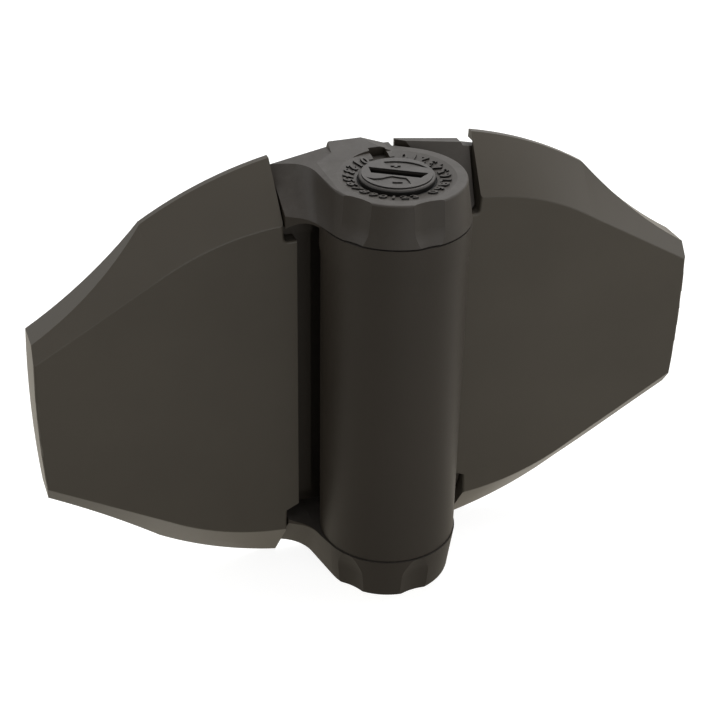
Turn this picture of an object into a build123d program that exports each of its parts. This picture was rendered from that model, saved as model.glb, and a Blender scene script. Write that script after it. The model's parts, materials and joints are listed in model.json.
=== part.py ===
"""Self-closing gate hinge: two winged leaves that screw on to the face of a post and of a gate.

The post leaf holds an upper and a lower knuckle. The gate leaf's barrel turns between them on two
bushes, and a torsion spring inside the barrel swings the gate shut. A slotted dial in the upper
knuckle is pressed down and turned to wind the spring. Snap-on covers hide the mounting screws.

The origin is on the barrel's axis, halfway up the covers. +X is the gate's side, -X the post's
side, +Y points into the gate and the post, and +Z is up. All sizes are in millimetres.
"""
from build123d import *
from math import acos, atan2, cos, degrees, hypot, radians, sin
import os

os.makedirs("parts", exist_ok=True)

# Which way a leaf points
GATE = 1
POST = -1

# Barrel, and how far the mounting plane lies behind it
barrel_r = 20.3
barrel_back = 0.95
mount_y = barrel_r + barrel_back
collar_step = 0.35
collar_r = barrel_r + collar_step
collar_h = 8.5

# Depths in front of the mounting plane: leaf plate, cover face and the cover's back rim
plate_t = 3.0
cover_deep = 12.65
rim_t = 1.85
plate_gap = 0.2
face_y = mount_y - cover_deep

# Side outline of a cover: bowed crown, shoulder, hollow flank, bowed outer end
cover_side_gap = 4.55
cover_x = collar_r + cover_side_gap
crown_h = 67.7
crown_sag = 2.1
shoulder_x = 66.0
shoulder_h = 52.4
tip_x = 98.6
tip_h = 25.2
flank_sag = 1.6
end_bow = 0.9

# Crest round the flat main face, and the outline that the bevel runs out to at the back rim
crest_h = 51.4
crest_sag = 2.9
crest_knee_x = 65.0
crest_knee_h = 39.8
crest_tip_h = 19.6
rim_over = 0.15
rim_tip_h = 37.0
bevel_end_x = 99.8

# Cover walls, and the notches where the knuckles' arms pass
cover_skin = 2.4
cover_wall = 2.2
bevel_in_crest = 0.6
bevel_in_rim = 4.0
notch_side_gap = 0.2
notch_lean = 1.1
notch_top = 46.3
notch_root = 1.2
notch_low = 44.2
notch_low_in = 42.5
crest_round = 0.7

# Snap tongues of the covers
tongue_w = 8.0
tongue_t = 2.2
tongue_barb = 0.9
tongue_slack = 0.35
tongue_back = 0.35
barb_t = 1.1
tongue_spots = [(37.0, 31.0, -1), (37.0, -31.0, -1), (88.0, 9.0, 1), (88.0, -9.0, 1)]

# Ring gaps above and below the barrel, and the knuckles' outer ends
ring_top = 54.25
ring_low = -49.0
knuckle_top = 66.0
knuckle_low = -62.6
knuckle_draft = 1.75
end_gap = 0.5
swing_clear = 0.9

# Knuckle and arm in plan: depths in front of the mounting plane at the ring and at the outer ends
arm_reach = 7.9
arm_spread = 0.75
ring_angle = 196.0
ring_bend = 16.65
ring_root_r = 9.0
ring_arm = 13.05
ring_heel = 0.75
end_heel = 2.05
top_angle = 183.5
top_bend = 5.65
top_root_r = 16.5
top_arm = -3.25
low_angle = 191.0
low_bend = 6.05
low_root_r = 12.0
low_arm = 2.65
heel_x = 5.5
past_back = 6.0
knuckle_edge = 0.6

# Feet of the arms past the ring faces: how far at the barrel, halfway and beside the cover
foot_clear = 0.75
top_foot = (0.7, 1.6, 3.7)
low_foot = (0.2, 0.6, 1.4)

# Flutes in the knuckles, for grip, and the dish round the dial
flute_r = 15.0
flute_depth = 1.05
flute_run = 5.0
flute_fade = 5.0
dish_r = 16.0
dish_d = 1.3
flute_angles = [-84.0, -144.0]

# Leaf plates where they leave the covers
plate_inset = 6.2
neck_x = 33.0
neck_h = 55.0
inner_x = 31.0
inner_h = 62.5
post_inner_h = 61.0
step_x = 26.7
step_h = 63.5
slope_out_x = 26.2
slope_out_h = 64.45
slope_x = 17.8
gate_split_x = 7.0
gate_rise = 2.5
gate_low_rise = 0.2
post_split_x = 6.5

# Sloping filler of the gate leaf in the covers' notches, and the post leaf's pad under its upper arm
filler_top = 66.6
filler_top_deep = 2.05
filler_foot = 46.6
filler_foot_deep = 10.05
pad_gap = 0.3
pad_deep = 8.75

# Ridge behind the upper knuckle, and the ramp that runs up to it
ramp_deep = 8.65
ramp_sunk = 0.5
ridge_x = 12.0
ridge_foot = 0.7
ridge_rise = 2.45
ridge_flat_x = 2.7
ridge_end_x = 4.1

# Rail beside the barrel on each leaf, and the web behind the barrel
rail_side = 0.7
rail_cover_gap = 0.3
rail_deep = 7.25
rail_low = -42.4
web_x0 = 4.0
web_deep = 12.25

# Mounting screw holes and their bosses
hole_r = 2.75
boss_r = 6.5
boss_h = 2.4
sink_r = 5.4
hole_x_in = 42.0
hole_x_out = 78.0
hole_z = 22.0
hole_x_end = 42.0
hole_z_end = 46.0

# Pivots, bushes and washers
pivot_r = 13.45
run_fit = 0.05
sleeve_wall = 1.0
bush_r = 15.3
bush_l = 14.1
washer_in = 13.55
washer_r = 17.2
washer_t = 1.4
washer_gap = 0.1
washer_fit = 0.1
bore_r = 14.2
pivot_flange_r = 15.6
pivot_flange_t = 2.2
pivot_cup_r = 10.5
pivot_cup_floor = 6.0
flange_fit = 0.1
stack_gap = 0.1

# Tension dial and its ratchet ring
dial_r = 10.35
dial_hole_r = 10.75
dial_proud = 0.35
dial_edge = 0.7
slot_far_l = 16.2
slot_near_l = 13.4
slot_w = 3.3
slot_d = 2.2
slot_angle = -32.4
roof_t = 3.5
tooth_count = 24
tooth_h = 0.9
tooth_w = 1.4
tooth_gap = 0.2
tooth_step = 0.15
tooth_root = 0.3
ratchet_in = 10.9
ratchet_t = 1.2
flange_r = 12.35
flange_t = 2.0
skirt_r = 9.0
skirt_l = 5.0
hex_af = 10.8
hex_fit = 0.1
socket_top = 61.0
seal_d = 1.1
seal_r = 10.15
seal_z = 64.1
window_w = 4.8
window_x = 0.3
window_in = 11.2
window_out = 16.9
window_d = 1.7

# Torsion spring, what it winds between, and the dial's return spring
wire_d = 3.8
coil_r = 10.8
coil_turns = 13
coil_gap = 0.2
leg_l = 4.0
return_wire_d = 1.2
return_coil_r = 7.6
return_turns = 3.5
return_leg_l = 1.3
driver_t = 4.0
driver_r = 12.35
hex_post_top = 57.5
anchor_t = 6.8
anchor_r = 14.1
lug_w = 3.0
lug_l = 4.0
lug_x = 7.6
key_w = 4.0
key_r = 15.0
key_fit = 0.1
spigot_r = 8.6
spigot_l = 10.4
guide_r = 8.2
guide_wall = 1.6

# Locking screws of the two pivots and the roll pin of the anchor
lock_r = 2.0
lock_sink = 0.5
lock_key_af = 2.0
lock_key_d = 2.2
lock_point = 0.4
top_lock_z = 56.5
low_lock_z = -55.0
lock_bite = 0.85
cup_wall_left = 0.8
roll_r = 1.5
roll_bore = 0.85
roll_slot = 0.7
roll_in = 8.5
roll_sink = 0.6

# Places worked out from the sizes above
rim_y = mount_y - rim_t
plate_y = mount_y - plate_t
arm_x = collar_r + arm_reach
notch_x = arm_x + notch_side_gap
foot_x = collar_r + foot_clear
rail_x0 = barrel_r - rail_side
rail_x1 = cover_x - rail_cover_gap
rail_y = mount_y - rail_deep
web_y = mount_y - web_deep
ramp_y = mount_y - ramp_deep
gate_split_h = slope_out_h + gate_rise
gate_split_low = slope_out_h + gate_low_rise
rail_top = notch_top + pad_gap
clear_h = 2 * crown_h
stand = (Align.CENTER, Align.CENTER, Align.MIN)
barrel_top = ring_top - end_gap
barrel_low = ring_low + end_gap
swing_r = collar_r + swing_clear
end_r = collar_r - knuckle_draft
roof_z = knuckle_top - roof_t
ratchet_low = roof_z - ratchet_t - tooth_h
flange_top = ratchet_low - tooth_gap - tooth_h
flange_low = flange_top - flange_t
skirt_low = flange_low - skirt_l
top_washer_low = ring_top - washer_gap - washer_t
low_washer_top = ring_low + washer_gap + washer_t
top_bush_low = top_washer_low - stack_gap - bush_l
low_bush_top = low_washer_top + stack_gap + bush_l
anchor_low = low_bush_top + 2 * stack_gap
anchor_top = anchor_low + anchor_t
driver_low = top_bush_low + stack_gap
driver_top = driver_low + driver_t
coil_low = anchor_top + coil_gap + wire_d / 2
coil_top = top_bush_low - coil_gap - wire_d / 2
slope = (knuckle_top - slope_out_h) / (slope_out_x - slope_x)
ridge_h = knuckle_top + slope * (slope_x - ridge_x - ridge_foot)
ridge_top = knuckle_top + ridge_rise
top_side = [
    (-slope_x, knuckle_top),
    (-ridge_x - ridge_foot, ridge_h),
    (-ridge_x - ridge_foot / 2, ridge_top - ridge_foot / 2),
    (-ridge_x, ridge_top),
    (-ridge_flat_x, ridge_top),
    (ridge_end_x, knuckle_top),
]


def draw_side(y, inset=0.0, hand=GATE, over=0.0):
    """Side outline of a cover, or the same drawn in by an inset."""
    crown = (hand * cover_x, crown_h + over)
    shoulder = (hand * shoulder_x, shoulder_h + over)
    tip = (hand * tip_x, tip_h)
    with BuildSketch(Plane.XZ.offset(-y)) as side:
        with BuildLine():
            Line((hand * cover_x, 0), crown)
            SagittaArc(crown, shoulder, hand * crown_sag)
            SagittaArc(shoulder, tip, -hand * flank_sag)
            mirror(about=Plane.XZ)
            ThreePointArc(tip, (hand * (tip_x + end_bow), 0), (hand * tip_x, -tip_h))
        make_face()
        if inset:
            offset(amount=-inset, kind=Kind.INTERSECTION)
    return side.sketch


def draw_bevel(y, start_h, sag, knee, end_h, inset=0.0):
    """One section of the bevelled cover: bowed near the barrel, straight out to its end."""
    with BuildSketch(Plane.XZ.offset(-y)) as section:
        with BuildLine():
            Line((cover_x, 0), (cover_x, start_h))
            SagittaArc((cover_x, start_h), knee, sag)
            Line(knee, (bevel_end_x, end_h))
            mirror(about=Plane.XZ)
            Line((bevel_end_x, end_h), (bevel_end_x, -end_h))
        make_face()
        if inset:
            offset(amount=-inset, kind=Kind.INTERSECTION)
    return section.sketch


def loft_bevel(front_y, crest_inset=0.0, rim_inset=0.0):
    """Cover body between its flat face and its back rim."""
    knee = (crest_knee_x, crest_knee_h)
    shoulder = (shoulder_x, shoulder_h + rim_over)
    front = draw_bevel(front_y, crest_h, crest_sag, knee, crest_tip_h, crest_inset)
    back = draw_bevel(rim_y, crown_h + rim_over, crown_sag, shoulder, rim_tip_h, rim_inset)
    loft([front, back], ruled=True)


def cut_notches(grow=0.0):
    """Take away the covers' inner corners, where the knuckles' arms pass."""
    foot = notch_x + grow
    inner = cover_x - 3
    fall = (notch_low - notch_low_in) / (notch_x - cover_x)
    with BuildSketch(Plane.XZ.offset(-mount_y - 1)) as notches:
        with BuildLine():
            high = (foot + notch_lean, crown_h + 3)
            FilletPolyline((inner, notch_top - grow), (foot, notch_top - grow), high, radius=notch_root + grow)
            Polyline(high, (inner, high[1]), (inner, notch_top - grow))
        make_face()
        with BuildLine():
            low = (foot, -notch_low + grow - fall * grow)
            deep = (foot + notch_lean, -crown_h - 3)
            Polyline((inner, low[1] + fall * (foot - inner)), low, deep, (inner, deep[1]), close=True)
        make_face()
    extrude(notches.sketch, amount=mount_y, mode=Mode.SUBTRACT)


def knuckle_plan(z, r, heel, lean, bend_in, root_r, end_x, arm_in):
    """Round knuckle with its arm to the post's side and its heel, out past the mounting plane."""
    heel_y, bend_y, arm_y = mount_y - heel, mount_y - bend_in, mount_y - arm_in
    back_y = mount_y + past_back
    reach = hypot(heel_x, heel_y)
    start = degrees(atan2(heel_y, heel_x) - acos(r / reach))
    middle = (start + lean - 360) / 2
    first, front, last = [(r * cos(radians(a)), r * sin(radians(a))) for a in (start, middle, lean)]
    run = (bend_y - last[1]) / -cos(radians(lean))
    bend = (last[0] + run * sin(radians(lean)), bend_y)
    with BuildSketch(Plane.XY.offset(z)) as plan:
        with BuildLine():
            ThreePointArc(first, front, last)
            FilletPolyline(last, bend, (-end_x, arm_y), radius=root_r)
            Polyline((-end_x, arm_y), (-end_x, back_y), (heel_x, back_y), (heel_x, heel_y), first)
        make_face()
    return plan.sketch, last, bend


def make_knuckle(ring_z, end_z, lean, bend_in, root_r, arm_in, foot):
    """One knuckle with its arm, drafted towards its outer end, and the arm's curved foot."""
    ring_plan, last, bend = knuckle_plan(
        ring_z, collar_r, ring_heel, ring_angle, ring_bend, ring_root_r, arm_x, ring_arm
    )
    end_plan = knuckle_plan(end_z, end_r, end_heel, lean, bend_in, root_r, arm_x + arm_spread, arm_in)
    with BuildPart() as knuckle:
        loft([ring_plan, end_plan[0]], ruled=True)
        rim = edges().filter_by_position(Axis.Z, end_z - 0.01, end_z + 0.01)
        fillet(rim.filter_by(lambda edge: edge.center().Y < mount_y - 2.2), knuckle_edge)
        split(bisect_by=Plane.XZ.offset(-mount_y))
    inward = -1 if end_z > ring_z else 1
    share = (foot_x + last[0]) / (last[0] - bend[0])
    front = (-foot_x, last[1] + share * (bend[1] - last[1]))
    arm_y = mount_y - ring_arm
    near, middle, far = [ring_z + inward * depth for depth in foot]
    with BuildPart() as foot_form:
        with BuildSketch(Plane.XY.offset(ring_z)):
            with BuildLine():
                FilletPolyline(front, bend, (-arm_x, arm_y), radius=ring_root_r)
                Polyline((-arm_x, arm_y), (-arm_x, mount_y), (-foot_x, mount_y), front)
            make_face()
        extrude(amount=inward * foot[2])
        with BuildSketch(Plane.XZ.offset(-mount_y)):
            with BuildLine():
                ThreePointArc((-foot_x, near), (-(foot_x + arm_x) / 2, middle), (-arm_x, far))
                Polyline((-arm_x, far), (-arm_x, ring_z), (-foot_x, ring_z), (-foot_x, near))
            make_face()
        extrude(amount=2 * mount_y, mode=Mode.INTERSECT)
    return knuckle.part, foot_form.part


def helix_wire(radius, z_start, z_end, turns, leg):
    """Left-handed helix in half-turn arcs whose joints are tangent, with straight legs."""
    halves = round(turns * 2)
    rise = (z_end - z_start) / halves
    belly = (radius**2 + (rise / 2) ** 2 / 4) ** 0.5
    with BuildLine() as path:
        Line((radius, leg, z_start), (radius, 0, z_start))
        for step in range(halves):
            side = 1 if step % 2 == 0 else -1
            z = z_start + step * rise
            ThreePointArc((side * radius, 0, z), (0, -side * belly, z + rise / 2), (-side * radius, 0, z + rise))
        side = 1 if halves % 2 == 0 else -1
        Line((side * radius, 0, z_end), (side * radius, -side * leg, z_end))
    return path.wire()


def wire_clearance(path, diameter):
    """Least gap between separate stretches of a wire, from points along it."""
    count = 900
    points = [path.position_at(i / count) for i in range(count + 1)]
    length = path.length
    least = 1e9
    for i in range(0, count, 3):
        for j in range(i, count):
            if (j - i) / count * length > 3 * diameter:
                least = min(least, (points[i] - points[j]).length)
    return least - diameter


def crown_teeth(z, inner, outer, height):
    """Ring of square teeth standing on a face."""
    with BuildSketch(Plane.XY.offset(z)) as teeth:
        with PolarLocations((inner + outer) / 2, tooth_count):
            Rectangle(outer - inner, tooth_w)
        Circle(outer, mode=Mode.INTERSECT)
    extrude(teeth.sketch, amount=height)


# Covers: bevelled shells, open at the back, with notched inner corners and snap tongues
with BuildPart() as cover_hollow:
    loft_bevel(face_y + cover_skin, bevel_in_crest, bevel_in_rim)
    extrude(draw_side(rim_y - 0.01, cover_wall), amount=-(rim_t + 1))
    extrude(draw_side(face_y, cover_wall), amount=-(mount_y - face_y + 1), mode=Mode.INTERSECT)
    cut_notches(cover_wall)

with BuildPart() as gate_cover:
    loft_bevel(face_y)
    extrude(draw_side(rim_y - 0.01), amount=-rim_t - 0.01)
    extrude(draw_side(face_y), amount=-(mount_y - face_y), mode=Mode.INTERSECT)
    cut_notches()
    crest = edges().filter_by_position(Axis.Y, face_y - 0.01, face_y + 0.01)
    fillet(crest.filter_by(lambda edge: edge.center().X > notch_x), crest_round)
    add(cover_hollow.part, mode=Mode.SUBTRACT)
    with BuildSketch(Plane.XZ.offset(plate_gap - plate_y)):
        with Locations((cover_x + (neck_x - cover_x) / 2 - 1, 0)):
            Rectangle(neck_x - cover_x + 1.4, 2 * slope_out_h)
    extrude(amount=-(plate_t + 1), mode=Mode.SUBTRACT)
    for x, z, side in tongue_spots:
        with BuildSketch(Plane.XZ.offset(-(face_y + cover_skin / 2))):
            with Locations((x, z)):
                Rectangle(tongue_t, tongue_w)
        extrude(amount=-(mount_y - tongue_back - face_y - cover_skin / 2))
        with BuildSketch(Plane.XZ.offset(-(mount_y - tongue_back - barb_t))):
            with Locations((x + side * tongue_barb / 2, z)):
                Rectangle(tongue_t + tongue_barb, tongue_w)
        extrude(amount=-barb_t)
gate_cover.part.label = "gate_cover"

with BuildPart() as post_cover:
    mirror(gate_cover.part, about=Plane.YZ)
post_cover.part.label = "post_cover"


def leaf_plate(hand):
    """Flat plate of a leaf inside its cover, with bosses for the mounting screws."""
    extrude(draw_side(plate_y, plate_inset, hand), amount=-plate_t)
    spots = [(hand * x, z) for x in (hole_x_in, hole_x_out) for z in (hole_z, -hole_z)]
    spots += [(hand * hole_x_end, hole_z_end), (hand * hole_x_end, -hole_z_end)]
    with BuildSketch(Plane.XZ.offset(-plate_y)) as bosses:
        with Locations(*spots):
            Circle(boss_r)
    extrude(bosses.sketch, amount=boss_h)
    return spots


def pierce_plate(hand, spots):
    """Screw holes with sunk seats, and slots for the cover's tongues."""
    with BuildSketch(Plane.XZ.offset(-mount_y - 1)) as holes:
        with Locations(*spots):
            Circle(hole_r)
    extrude(holes.sketch, amount=plate_t + boss_h + 2, mode=Mode.SUBTRACT)
    for spot in spots:
        with Locations(Plane(origin=(spot[0], plate_y - boss_h, spot[1]), z_dir=(0, -1, 0))):
            Cone(hole_r, sink_r, sink_r - hole_r, align=(Align.CENTER, Align.CENTER, Align.MAX), mode=Mode.SUBTRACT)
    for x, z, side in tongue_spots:
        with BuildSketch(Plane.XZ.offset(-mount_y - 1)) as slot:
            with Locations((hand * x, z)):
                Rectangle(tongue_t + 2 * tongue_slack, tongue_w + 2 * tongue_slack)
        extrude(slot.sketch, amount=plate_t + 2, mode=Mode.SUBTRACT)
        with BuildSketch(Plane.XZ.offset(-mount_y - 1)) as step:
            with Locations((hand * (x + side * (tongue_barb + tongue_slack) / 2), z)):
                Rectangle(tongue_t + tongue_barb + 2 * tongue_slack, tongue_w + 2 * tongue_slack)
        extrude(step.sketch, amount=tongue_back + barb_t + 1.15, mode=Mode.SUBTRACT)


def cut_across(z, radius, y_from, y_to=mount_y + 1):
    """Round hole along Y, in to a depth from the back of the barrel."""
    with BuildSketch(Plane.XZ.offset(-y_to)) as hole:
        with Locations((0, z)):
            Circle(radius)
    extrude(hole.sketch, amount=y_to - y_from, mode=Mode.SUBTRACT)


def bore(z_from, z_to, radius):
    """Round bore on the barrel's axis."""
    with BuildSketch(Plane.XY.offset(z_from)) as hole:
        Circle(radius)
    extrude(hole.sketch, amount=z_to - z_from, mode=Mode.SUBTRACT)


def tube(z_from, z_to, outer, inner=0.0):
    """Plain tube or disc on the barrel's axis."""
    with BuildSketch(Plane.XY.offset(z_from)) as ring:
        Circle(outer)
        if inner:
            Circle(inner, mode=Mode.SUBTRACT)
    extrude(ring.sketch, amount=z_to - z_from)


top_knuckle = make_knuckle(ring_top, knuckle_top, top_angle, top_bend, top_root_r, top_arm, top_foot)
low_knuckle = make_knuckle(ring_low, knuckle_low, low_angle, low_bend, low_root_r, low_arm, low_foot)

with BuildPart() as ramp:
    with BuildSketch(Plane.XZ.offset(-ramp_y)):
        with BuildLine():
            Polyline(*top_side, (ridge_end_x, roof_z), (-slope_x, roof_z), close=True)
        make_face()
    extrude(amount=-ramp_deep)
    with BuildSketch(Plane.YZ.offset(-slope_x)):
        with BuildLine():
            above = ridge_top + ridge_rise
            foot_z = knuckle_top - ramp_sunk
            Polyline((ramp_y, foot_z), (mount_y, ridge_top), (mount_y, above), (ramp_y, above), close=True)
        make_face()
    extrude(amount=slope_x + heel_x, mode=Mode.SUBTRACT)

# Post leaf: plate, rail beside the barrel, upper and lower knuckles on their arms
with BuildPart() as post_leaf:
    post_spots = leaf_plate(POST)
    with BuildSketch(Plane.XZ.offset(-plate_y)):
        with BuildLine():
            Polyline(
                (-neck_x, neck_h),
                (-inner_x, post_inner_h),
                (heel_x, post_inner_h),
                (heel_x, ring_top),
                (-post_split_x, ring_top),
                (-post_split_x, ring_low),
                (heel_x, ring_low),
                (heel_x, knuckle_low),
                (-ridge_flat_x, knuckle_low - ridge_rise),
                (-ridge_x, knuckle_low - ridge_rise),
                (-slope_x, knuckle_low),
                (-inner_x, -post_inner_h),
                (-neck_x, -neck_h),
                close=True,
            )
        make_face()
    extrude(amount=-plate_t)
    with BuildSketch(Plane.XZ.offset(-mount_y)):
        with BuildLine():
            Polyline(
                (-rail_x0, rail_top),
                (notch_root - arm_x, rail_top),
                (-arm_x, rail_top + notch_root),
                (-arm_x, ring_top),
                (-rail_x0, ring_top),
                close=True,
            )
        make_face()
    extrude(amount=pad_deep)
    with BuildSketch(Plane.XZ.offset(-rail_y)):
        with Locations((-(rail_x0 + rail_x1) / 2, (rail_low + rail_top) / 2)):
            Rectangle(rail_x1 - rail_x0, rail_top - rail_low)
    extrude(amount=-(plate_y - rail_y + 0.5))
    bore(ring_low, ring_top, swing_r)
    for ring_z, end_z, knuckle, foot in (
        (ring_top, knuckle_top, *top_knuckle),
        (ring_low, knuckle_low, *low_knuckle),
    ):
        add(knuckle)
        add(foot)
        outward = 1 if end_z > ring_z else -1
        lean = knuckle_draft / abs(end_z - ring_z)
        for angle in flute_angles:
            out = Vector(cos(radians(angle)), sin(radians(angle)), 0)
            start = out * (end_r - flute_depth + flute_r) + Vector(0, 0, end_z)
            turn = start + (out * lean - Vector(0, 0, outward)) * flute_run
            with Locations(Plane(origin=turn, z_dir=Vector(0, 0, outward) - out * lean)):
                Cylinder(flute_r, 2 * flute_run, align=stand, mode=Mode.SUBTRACT)
                Sphere(flute_r, mode=Mode.SUBTRACT)
            with Locations(Plane(origin=turn, z_dir=out * (lean + flute_depth / flute_fade) - Vector(0, 0, outward))):
                Cylinder(flute_r, flute_fade, align=stand, mode=Mode.SUBTRACT)
    with BuildSketch(Plane.XZ.offset(-mount_y)):
        with BuildLine():
            Polyline(
                (-slope_x, knuckle_top),
                (-neck_x, knuckle_top - slope * (neck_x - slope_x)),
                (-neck_x, knuckle_top + 1),
                (-slope_x, knuckle_top + 1),
                close=True,
            )
        make_face()
    extrude(amount=2 * mount_y, mode=Mode.SUBTRACT)
    with BuildSketch(Plane.XY.offset(knuckle_top)) as dish_rim:
        Circle(dish_r)
    with BuildSketch(Plane.XY.offset(knuckle_top - dish_d)) as dish_floor:
        Circle(dial_hole_r)
    loft([dish_rim.sketch, dish_floor.sketch], ruled=True, mode=Mode.SUBTRACT)
    add(ramp)
    bore(ring_top - 1, roof_z, pivot_r)
    bore(roof_z, knuckle_top + 1, dial_hole_r)
    bore(knuckle_low - 1, ring_low + 1, pivot_r)
    bore(knuckle_low - 1, knuckle_low + pivot_flange_t, pivot_flange_r + flange_fit)
    cut_across(top_lock_z, lock_r, pivot_r - 1)
    cut_across(low_lock_z, lock_r, pivot_r - 1)
    with BuildSketch(Plane.XY.offset(knuckle_top - window_d)):
        with Locations((window_x, (window_in + window_out) / 2)):
            Rectangle(window_w, window_out - window_in)
    extrude(amount=window_d + 1, mode=Mode.SUBTRACT)
    pierce_plate(POST, post_spots)
post_leaf.part.label = "post_leaf"

# Gate leaf: barrel with a collar at its top, web behind it, and the plate
with BuildPart() as gate_panel:
    with BuildSketch(Plane.XZ.offset(-plate_y)):
        with BuildLine():
            Polyline(
                (neck_x, neck_h),
                (inner_x, inner_h),
                (step_x, step_h),
                (slope_out_x, slope_out_h),
                (gate_split_x, gate_split_h),
                (gate_split_x, -gate_split_low),
                (slope_out_x, -slope_out_h),
                (step_x, -step_h),
                (inner_x, -inner_h),
                (neck_x, -neck_h),
                close=True,
            )
        make_face()
    extrude(amount=-plate_t)
    for side, notch, split_h in ((1, notch_top, gate_split_h), (-1, notch_low, gate_split_low)):
        foot_z = side * (notch + pad_gap)
        with BuildSketch(Plane.XZ.offset(-mount_y)):
            with BuildLine():
                Polyline(
                    (gate_split_x, foot_z),
                    (arm_x - notch_root, foot_z),
                    (arm_x, foot_z + side * notch_root),
                    (arm_x, side * (step_h + (inner_h - step_h) * (arm_x - step_x) / (inner_x - step_x))),
                    (step_x, side * step_h),
                    (slope_out_x, side * slope_out_h),
                    (gate_split_x, side * split_h),
                    close=True,
                )
            make_face()
        extrude(amount=filler_foot_deep)
    with BuildSketch(Plane.YZ.offset(gate_split_x - 1)) as slopes:
        with BuildLine():
            Polyline(
                (mount_y - filler_top_deep, filler_top),
                (mount_y - filler_foot_deep, filler_foot),
                (0, filler_foot),
                (0, filler_top + plate_t),
                (mount_y - filler_top_deep, filler_top + plate_t),
                close=True,
            )
        make_face()
        mirror(about=Plane.XZ)
    extrude(slopes.sketch, amount=neck_x - gate_split_x, mode=Mode.SUBTRACT)

with BuildPart() as gate_leaf:
    gate_spots = leaf_plate(GATE)
    add(gate_panel)
    bore(barrel_top, clear_h, swing_r)
    bore(-clear_h, barrel_low, swing_r)
    with BuildSketch(Plane.XY.offset(barrel_low)):
        with BuildLine():
            Polyline(
                (-web_x0, 0),
                (-web_x0, mount_y),
                (rail_x1, mount_y),
                (rail_x1, rail_y),
                (rail_x0, web_y),
                (rail_x0 - 2, 0),
                close=True,
            )
        make_face()
    extrude(amount=rail_top - barrel_low)
    tube(barrel_low, barrel_top, barrel_r)
    tube(barrel_top - collar_h, barrel_top, collar_r)
    bore(barrel_low, barrel_top, bore_r)
    bore(top_bush_low, barrel_top, bush_r)
    bore(barrel_low, low_bush_top, bush_r)
    bore(top_washer_low, barrel_top, washer_r + washer_fit)
    bore(barrel_low, low_washer_top, washer_r + washer_fit)
    with BuildSketch(Plane.XY.offset(low_bush_top)):
        Rectangle(2 * (key_r + key_fit), key_w + 2 * key_fit)
    extrude(amount=anchor_top + key_fit - low_bush_top, mode=Mode.SUBTRACT)
    cut_across((anchor_low + anchor_top) / 2, roll_r, bore_r - 1)
    pierce_plate(GATE, gate_spots)
gate_leaf.part.label = "gate_leaf"

# Ratchet ring, held against the upper knuckle's roof by the sleeve
with BuildPart() as ratchet_ring:
    tube(roof_z - ratchet_t, roof_z, pivot_r, ratchet_in)
    tube(ratchet_low, roof_z - ratchet_t, pivot_r, pivot_r - sleeve_wall)
    crown_teeth(ratchet_low, ratchet_in + tooth_step, pivot_r - sleeve_wall + tooth_root, tooth_h + tooth_root)
ratchet_ring.part.label = "ratchet_ring"

# Stainless sleeve that carries the barrel's upper end
with BuildPart() as top_pivot:
    tube(top_bush_low, ratchet_low, pivot_r, pivot_r - sleeve_wall)
    cut_across(top_lock_z, lock_r, 0, pivot_r + 1)
top_pivot.part.label = "top_pivot"

# Cup-shaped lower pivot, its flange sunk in the lower knuckle
with BuildPart() as bottom_pivot:
    tube(knuckle_low, low_bush_top - 2 * stack_gap, pivot_r)
    tube(knuckle_low, knuckle_low + pivot_flange_t, pivot_flange_r)
    chamfer(edges().group_by(Axis.Z)[-1], 0.8)
    chamfer(edges().group_by(Axis.Z)[0], 0.5)
    bore(knuckle_low + pivot_cup_floor, low_bush_top, pivot_cup_r)
    cut_across(low_lock_z, lock_r, pivot_cup_r + cup_wall_left, pivot_r + 1)
bottom_pivot.part.label = "bottom_pivot"

with BuildPart() as top_bush:
    tube(top_bush_low, top_bush_low + bush_l, bush_r, pivot_r + run_fit)
top_bush.part.label = "top_bush"

with BuildPart() as lower_bush:
    tube(low_bush_top - bush_l, low_bush_top, bush_r, pivot_r + run_fit)
lower_bush.part.label = "lower_bush"

with BuildPart() as top_thrust_washer:
    tube(top_washer_low, top_washer_low + washer_t, washer_r, washer_in)
    chamfer(edges().filter_by(GeomType.CIRCLE).sort_by(SortBy.RADIUS)[-2:], 0.3)
top_thrust_washer.part.label = "top_thrust_washer"

with BuildPart() as lower_thrust_washer:
    tube(low_washer_top - washer_t, low_washer_top, washer_r, washer_in)
    chamfer(edges().filter_by(GeomType.CIRCLE).sort_by(SortBy.RADIUS)[-2:], 0.3)
lower_thrust_washer.part.label = "lower_thrust_washer"

# Grub screws that lock the pivots, each with a hexagon socket towards the back
lock_screws = []
for name, z, tip in (
    ("top_lock_screw", top_lock_z, pivot_r - lock_bite),
    ("bottom_lock_screw", low_lock_z, pivot_cup_r + cup_wall_left),
):
    with BuildPart() as lock_screw:
        with BuildSketch(Plane.XZ.offset(-tip)):
            with Locations((0, z)):
                Circle(lock_r)
        extrude(amount=-(mount_y - lock_sink - tip))
        chamfer(edges().group_by(Axis.Y)[0], lock_point)
        with BuildSketch(Plane.XZ.offset(-(mount_y - lock_sink))):
            with Locations((0, z)):
                RegularPolygon(lock_key_af / 2, 6, major_radius=False)
        extrude(amount=lock_key_d, mode=Mode.SUBTRACT)
    lock_screw.part.label = name
    lock_screws.append(lock_screw)

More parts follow.
